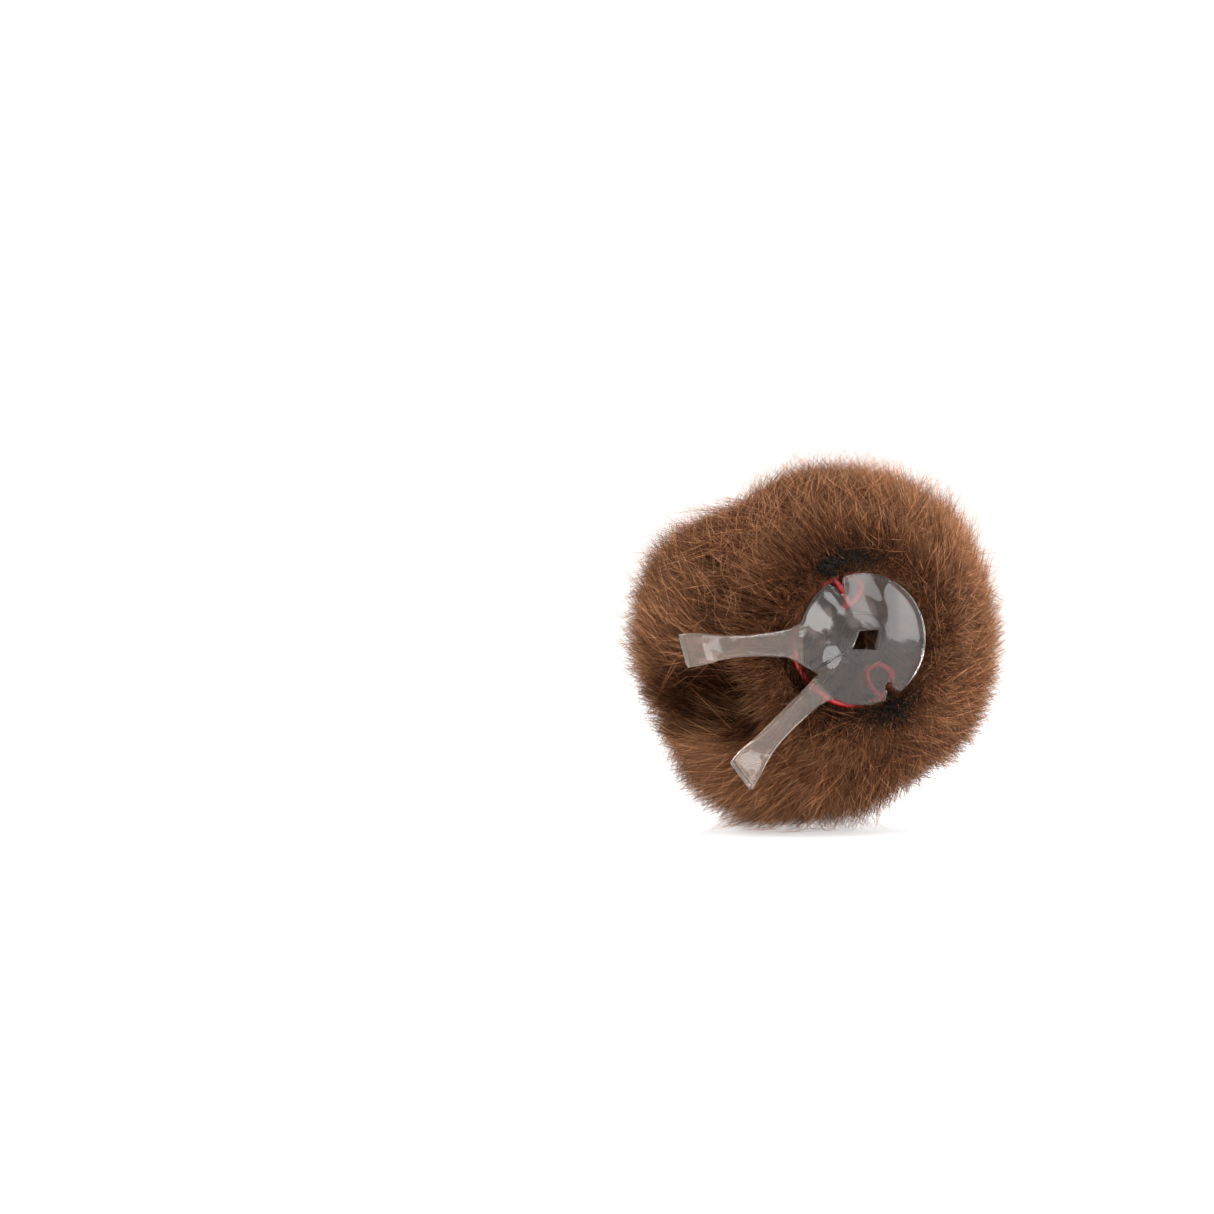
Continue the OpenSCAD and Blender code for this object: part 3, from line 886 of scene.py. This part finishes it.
def silicone_mesh():
    """Vertices, faces and flat places of the whole moulding, as one closed skin."""
    loop, rounding = silicone_outline()
    ahead = unit(np.roll(loop, -1, axis=0) - np.roll(loop, 1, axis=0))
    inward = np.stack([-ahead[:, 1], ahead[:, 0]], axis=1)
    found = [leg_chord(name)[1:-1] for name in LEGS]
    for share in (0.12, 0.35, 0.65, 1.0):
        ring = loop + inward * (rounding * share)[:, None]
        gap, _ = edge_distance(ring, loop)
        found.append(ring[inside(ring, loop) & (gap > 0.93 * rounding * share)])
    xs, ys = np.meshgrid(np.arange(-22, 9, GRID), np.arange(-18, 9, GRID * 0.866))
    xs = xs + (np.arange(len(ys)) % 2)[:, None] * GRID / 2
    field = np.stack([xs.ravel(), ys.ravel()], axis=1)
    field = field[inside(field, loop)]
    gap, near = edge_distance(field, loop)
    off_chord = [np.abs(turned(field, -a)[:, 0] - LEG_ROOT_X) for a in LEG_ANGLES.values()]
    chord_gap = np.min(off_chord, axis=0)
    keep = (gap > rounding[near] + 0.4 * GRID) & (chord_gap > 0.35 * GRID)
    found.append(field[keep])
    every = np.concatenate([loop] + found)

    n = len(loop)
    borders = [(i, (i + 1) % n) for i in range(n)]
    start = n
    for name in LEGS:
        points = leg_chord(name)
        chord = len(points) - 2
        first, last = [int(np.linalg.norm(loop - e, axis=1).argmin()) for e in points[[0, -1]]]
        chain = [first] + list(range(start, start + chord)) + [last]
        borders += list(zip(chain[:-1], chain[1:]))
        start += chord
    flat, _, triangles, *_ = delaunay_2d_cdt([Vector(q) for q in every], borders, [], 0, 1e-5)
    flat = np.array([tuple(v) for v in flat])
    triangles = np.array(triangles)
    return flat, triangles[inside(flat[triangles].mean(1), loop)], loop, rounding


def silicone_pieces():
    flat, triangles, loop, rounding = silicone_mesh()
    gap, near = edge_distance(flat, loop)
    edge_r = rounding[near]
    inset = np.clip(edge_r - gap, 0, edge_r)
    half = SILICONE_T / 2 - (edge_r - np.sqrt(np.maximum(edge_r**2 - inset**2, 0)))
    middle, normal = middle_surface(flat), normals_of(middle_surface, flat)
    relief = moulded_relief(flat) * smoothstep(0.0, 2.7, gap / edge_r)
    front = middle + normal * (half + relief)[:, None]
    back = middle - normal * half[:, None]
    n = len(flat)
    verts = np.concatenate([front, back])

    a, b, c = flat[triangles[:, 0]], flat[triangles[:, 1]], flat[triangles[:, 2]]
    area = (b[:, 0] - a[:, 0]) * (c[:, 1] - a[:, 1]) - (b[:, 1] - a[:, 1]) * (c[:, 0] - a[:, 0])
    triangles = np.where((area < 0)[:, None], triangles[:, ::-1], triangles)
    edges = [(int(t[k]), int(t[(k + 1) % 3])) for t in triangles for k in range(3)]
    used = set(edges)
    rims = [(i, j) for i, j in edges if (j, i) not in used]
    faces = [tuple(t) for t in triangles] + [tuple(t[::-1] + n) for t in triangles]
    places = list(flat[triangles].mean(1)) * 2
    for i, j in rims:
        faces.append((j, i, n + i, n + j))
        places.append((flat[i] + flat[j]) / 2)
    places = np.array(places)
    in_window = np.array([False] * 2 * len(triangles) + [edge_r[[i, j]].max() < EDGE_R for i, j in rims])

    normals = np.zeros((2 * n, 3))
    for f in faces:
        p = verts[list(f)]
        normals[list(f)] += np.cross(p[1] - p[0], p[2] - p[0])
        if len(f) == 4:
            normals[list(f)] += np.cross(p[2] - p[0], p[3] - p[0])
    normals = unit(normals)
    # away from the edges the surfaces' own normals are smoother than the mesh's
    field = smoothstep(2.7, 3.4, gap / edge_r)[:, None]
    normals[:n] = unit(normals[:n] * (1 - field) + normals_of(front_surface, flat) * field)
    normals[n:] = unit(normals[n:] * (1 - field) - normal * field)

    part_of = np.zeros(len(faces), int)
    for k, angle in enumerate(LEG_ANGLES.values(), start=1):
        q = turned(places, -angle)
        part_of[(q[:, 0] > LEG_ROOT_X) & (np.abs(q[:, 1]) < 3.2)] = k
    pieces = []
    for k, name in enumerate(("mount_disc", "leg_left_flap", "leg_lower_flap")):
        picked = np.flatnonzero(part_of == k)
        chosen = [faces[i] for i in picked]
        ids = sorted({v for f in chosen for v in f})
        slot = {v: i for i, v in enumerate(ids)}
        # the legs take the lighter copy of the silicone, a painted reflection
        looks = [leg_silicone_painted_reflection] if k else [silicone, seat_silicone]
        piece = make_object(name, row(verts[ids]), [[slot[v] for v in f] for f in chosen], looks)
        index = in_window[picked].astype(np.int32) * (len(looks) - 1)
        piece.data.polygons.foreach_set("material_index", index)
        piece.data.normals_split_custom_set_from_vertices([tuple(v) for v in row(normals[ids]) / MM])
        pieces.append(piece)
    return pieces


def tube_faces(rings, sides, closed):
    """Faces of a tube from its rings of points, with end caps where it is open."""
    faces = []
    for i in range(rings if closed else rings - 1):
        j = (i + 1) % rings
        for k in range(sides):
            m = (k + 1) % sides
            faces.append((i * sides + k, i * sides + m, j * sides + m, j * sides + k))
    if not closed:
        faces.append(tuple(range(sides))[::-1])
        faces.append(tuple(range((rings - 1) * sides, rings * sides)))
    return faces


def add_collar():
    """The capsule seat behind the disc: a short tube, open at the slit, with rounded lips."""
    inner, outer, top, bottom = 2.2, 2.95, 0.53, -4.5
    lip = 0.2
    corner = np.radians(np.linspace(0, 90, 5))
    foot_out = [(outer - lip + lip * math.cos(a), bottom + lip - lip * math.sin(a)) for a in corner]
    foot_in = [(inner + lip - lip * math.sin(a), bottom + lip - lip * math.cos(a)) for a in corner]
    walls = [(inner, z) for z in np.linspace(bottom + 0.6, top, 6)]
    profile = foot_out + foot_in + walls + [(outer, z) for z in np.linspace(top, bottom + 0.6, 6)]
    turns = 96
    gap = math.degrees(SLIT_HALF / inner)
    angles = np.radians(np.linspace(SLIT_ANGLE + gap, SLIT_ANGLE + 360 - gap, turns))
    verts = [(r * math.cos(a), r * math.sin(a), z) for a in angles for r, z in profile]
    faces = tube_faces(turns, len(profile), False)
    return make_object("seat_collar", row(np.array(verts)), faces, [seat_silicone])


def add_silicone():
    disc, *legs = silicone_pieces()
    collar = add_collar()
    for piece in (disc, collar):
        stand_for(piece, "mount", "mount")
    for piece, (body, angle) in zip(legs, LEG_ANGLES.items()):
        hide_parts(body)
        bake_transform(piece)


add_silicone()


# ---- cord, tacks, hem and knit bag ----

EAR = [(0, 3.72), (1.3, 3.85), (2.3, 4.5), (2.7, 5.4), (2.3, 6.3), (1.65, 6.95), (2.0, 7.3)]
EAR_SPREAD = ((1.10, -0.30), (0.45, 0.6))  # width of each tack's ear before and after the tack
ARC_POINTS, ARC_MARGIN, LOOP_R = 7, 24, 7.6
THREAD_SHIFT = (-15, -5)  # degrees from each tack to the middle of its loose threads
CORD_WRAPS = ((20,), (-20, 20))  # degrees from each tack to its turns that also hold the cord


def tube(path, radius, sides, closed=False, relief=None):
    """Points and faces of a tube along a path."""
    p = np.asarray(path, float)
    n = len(p)
    if closed:
        along = unit(np.roll(p, -1, axis=0) - np.roll(p, 1, axis=0))
    else:
        along = unit(np.gradient(p, axis=0))
    aside = np.empty_like(p)
    last = np.array([1.0, 0, 0] if abs(along[0, 2]) > 0.9 else [0, 0, 1.0])
    for i in range(n):
        last = last - along[i] * (last @ along[i])
        last = last / np.linalg.norm(last)
        aside[i] = last
    other = np.cross(along, aside)
    turn = np.arange(sides) * 2 * math.pi / sides
    r = np.broadcast_to(np.asarray(radius, float).reshape(-1, 1), (n, sides)).copy()
    if relief is not None:
        run = np.concatenate([[0], np.cumsum(np.linalg.norm(np.diff(p, axis=0), axis=1))])
        r *= relief(run[:, None], turn[None, :])
    ring = p[:, None] + r[..., None] * (
        np.cos(turn)[None, :, None] * aside[:, None] + np.sin(turn)[None, :, None] * other[:, None]
    )
    return ring.reshape(-1, 3), tube_faces(n, sides, closed)


def joined(name, parts, material):
    """One object from several (points, faces) pairs."""
    verts, faces, base = [], [], 0
    for points, part_faces in parts:
        verts.append(points)
        faces += [tuple(v + base for v in f) for f in part_faces]
        base += len(points)
    return make_object(name, row(np.concatenate(verts)), faces, [material])


def cord_route():
    """The cord's route in its plane: two arcs and an ear at each tack."""
    route = []
    for k, tack in enumerate(TACK_ANGLES):
        before, after = EAR_SPREAD[k]
        ear = [(y, -before * x) for x, y in EAR[:0:-1]] + [(y, after * x) for x, y in EAR]
        route += list(turned(ear, tack))
        end = TACK_ANGLES[1] if k == 0 else TACK_ANGLES[0] + 360
        for angle in np.linspace(tack + ARC_MARGIN, end - ARC_MARGIN, ARC_POINTS):
            route.append(tuple(LOOP_R * direction(angle)[:2]))
    return np.array(route)


def smooth_closed(points, steps):
    """Catmull-Rom curve through a closed route."""
    p0, p1, p2, p3 = (np.roll(points, k, axis=0)[:, None] for k in (1, 0, -1, -2))
    t = (np.arange(steps) / steps)[None, :, None]
    square = 2 * p0 - 5 * p1 + 4 * p2 - p3
    cube = 3 * p1 - p0 - 3 * p2 + p3
    curve = 0.5 * (2 * p1 + (p2 - p0) * t + square * t**2 + cube * t**3)
    return curve.reshape(-1, points.shape[1])


def add_cord():
    line = smooth_closed(cord_route(), 8)
    # even spacing lets the braid run at one pitch
    closed = np.concatenate([line, line[:1]])
    run = np.concatenate([[0], np.cumsum(np.linalg.norm(np.diff(closed, axis=0), axis=1))])
    count = int(run[-1] / 0.09)
    marks = np.arange(count) / count * run[-1]
    even = np.stack([np.interp(marks, run, closed[:, k]) for k in (0, 1)], axis=1)
    path = np.concatenate([even, np.full((count, 1), CORD_Z)], axis=1)
    pitch = run[-1] / round(run[-1] / 1.5)

    def braid(s, turn):
        phase = 2 * math.pi * s / pitch
        return 1.0 - 0.045 + 0.045 * np.sin(3 * turn + 2 * phase) * np.sin(3 * turn - 2 * phase)

    cord = joined("elastic_cord", [tube(path, CORD_R, 16, True, braid)], elastic)
    stand_for(cord, "fur", "mouth_cord")


def wrap(angle, tilt, inner, outer, swell):
    """One slack turn of thread round the hem, seen in the plane through the axis."""
    t = np.linspace(0, 2 * math.pi, 25)[:-1]
    mid, half = (inner + outer) / 2, (outer - inner) / 2
    r = mid + half * np.cos(t)
    z = HEM_Z + (HEM_SECTION + 0.16 + swell) * np.sin(t)
    return round_axis(r, np.radians(angle) + tilt * np.sin(t) / mid, z)


def stray_thread(angle, length, curl):
    """A loose end of thread that leaves the hem and wanders over the pile."""
    n = 12
    out, around = direction(angle), direction(angle + 90)
    point = out * (HEM_R + rng.uniform(-0.9, 0.6)) + np.array([0, 0, rng.uniform(-1.3, -0.6)])
    way = out * rng.uniform(-0.1, 0.8) + around * rng.normal(0, 1.0)
    way = unit(way + np.array([0, 0, rng.uniform(0.1, 0.8)]))
    points = [point]
    for _ in range(n - 1):
        way = unit(way + rng.normal(0, curl, 3) + out * 0.10)
        point = point + way * length / n
        surface = float(pile_front(point[0], point[1]))
        point[2] = min(max(point[2], surface - 0.7), surface + 0.35)
        points.append(point)
    return np.array(points)


def add_tack(name, tack_angle):
    """Black thread wound round the hem, with a tangle at its middle, loose ends and fuzz."""
    parts = []
    middle = tack_angle + THREAD_SHIFT[TACK_ANGLES.index(tack_angle)]
    for angle in tack_angle + np.linspace(-20, 20, 15):
        angle += rng.normal(0, 1.0)
        turn = wrap(angle, rng.normal(0, 0.5), 7.95, 9.9, rng.uniform(0, 0.25))
        parts.append(tube(turn, 0.11, 6, True))
    for angle in CORD_WRAPS[TACK_ANGLES.index(tack_angle)]:
        turn = wrap(tack_angle + angle, rng.normal(0, 0.08), 6.92, 9.85, 0.1)
        parts.append(tube(turn, 0.11, 6, True))
    for _ in range(46):
        path = stray_thread(middle + rng.normal(0, 8), rng.uniform(1.5, 4.5), rng.uniform(0.35, 0.8))
        parts.append(tube(path, np.linspace(0.07, 0.04, len(path)), 5))
    for _ in range(16):
        parts.append(tube(tangle(tack_angle), 0.10, 6))
    for _ in range(190):
        path = stray_thread(middle + rng.normal(0, 13), rng.uniform(0.8, 3.8), 0.5)[::2]
        parts.append(tube(path, np.linspace(0.035, 0.02, len(path)), 3))
    tack = joined(f"{name}_thread", parts, thread)
    stand_for(tack, "fur", name)


def tangle(tack_angle):
    """A curly end of thread in the knot between the hem and the disc's notch."""
    way = direction(tack_angle)
    middle = way * 8.9 + np.array([0, 0, -1.0]) + rng.normal(0, 0.3, 3)
    turns, phase = rng.uniform(1.0, 2.2), rng.uniform(0, 2 * math.pi)
    axis = unit(rng.normal(0, 1, 3))
    side = unit(np.cross(axis, (0.3, 0.4, 0.86)))
    other = np.cross(axis, side)
    t = np.linspace(0, 1, 40)[:, None]
    a = phase + 2 * math.pi * turns * t
    r = rng.uniform(0.35, 0.8) * (0.7 + 0.3 * np.sin(3 * a))
    path = middle + r * (side * np.cos(a) + other * np.sin(a)) + axis * (t - 0.5) * rng.uniform(0.3, 1.2)
    path[:, 2] = np.minimum(path[:, 2], -0.55)
    return path


def add_hem(side):
    """Half of the folded hem, gathered into small pleats by the elastic."""
    sign = TURN_WAY[side]
    turns, section = 260, 20
    a = math.radians(SEAM_ANGLE) + sign * np.linspace(0, math.pi, turns + 1)
    t = np.arange(section) * 2 * math.pi / section
    pleat = 0.10 * np.sin(34 * a) + 0.05 * np.sin(57 * a + 1.0)
    r = HEM_SECTION - 0.06 + pleat[:, None] * (0.5 + 0.5 * np.sin(t))[None, :]
    twist = 0.05 * np.sin(23 * a)[:, None]
    flat = HEM_R + r * np.cos(t)[None, :]
    verts = round_axis(flat, a[:, None] + twist / HEM_R, HEM_Z + r * np.sin(t))
    faces = []
    for i in range(turns):
        for j in range(section):
            k = (j + 1) % section
            q = [i * section + j, (i + 1) * section + j, (i + 1) * section + k, i * section + k]
            faces.append(q[::sign])
    faces.append(list(range(section))[::sign])
    faces.append([turns * section + j for j in range(section)][::-sign])
    hem = make_object(f"gathered_hem_{side}", row(verts.reshape(-1, 3)), faces, [knit])
    stand_for(hem, "fur", f"hem_{side}")


def add_bag(side):
    """Half of the knit bag, gathered towards the mouth."""
    sign = TURN_WAY[side]
    rows_t, cols = 70, 150
    t = np.linspace(math.acos((HEM_Z - HEM_SECTION - 0.05 - BAG_C[2]) / BAG[2]), math.pi, rows_t + 1)
    a = math.radians(SEAM_ANGLE) + sign * np.linspace(0, math.pi, cols + 1)
    tt, aa = np.meshgrid(t, a, indexing="ij")
    gathers = (0.16 * np.sin(30 * aa) + 0.08 * np.sin(17 * aa + 2)) * (1 - smoothstep(0.8, 1.9, tt))
    u = round_axis(np.sin(tt), aa, np.cos(tt))
    skins = [BAG_C + u * (BAG - inset + gathers[..., None]) for inset in (0.2, 0.75)]
    verts = np.concatenate([s.reshape(-1, 3) for s in skins])
    faces = shell_faces(rows_t, cols, sign)
    bag = make_object(f"knit_bag_{side}", row(verts), faces, [lining])
    stand_for(bag, "fur", f"backing_{side}")


add_cord()
add_tack("tack_upper", TACK_ANGLES[0])
add_tack("tack_lower", TACK_ANGLES[1])
for side in ("left", "right"):
    add_hem(side)
    add_bag(side)


# ---- carried-over node and the end ----

stitches = frame["nodes"]["seam_stitches"].data.materials
stitches.clear()
stitches.append(thread)
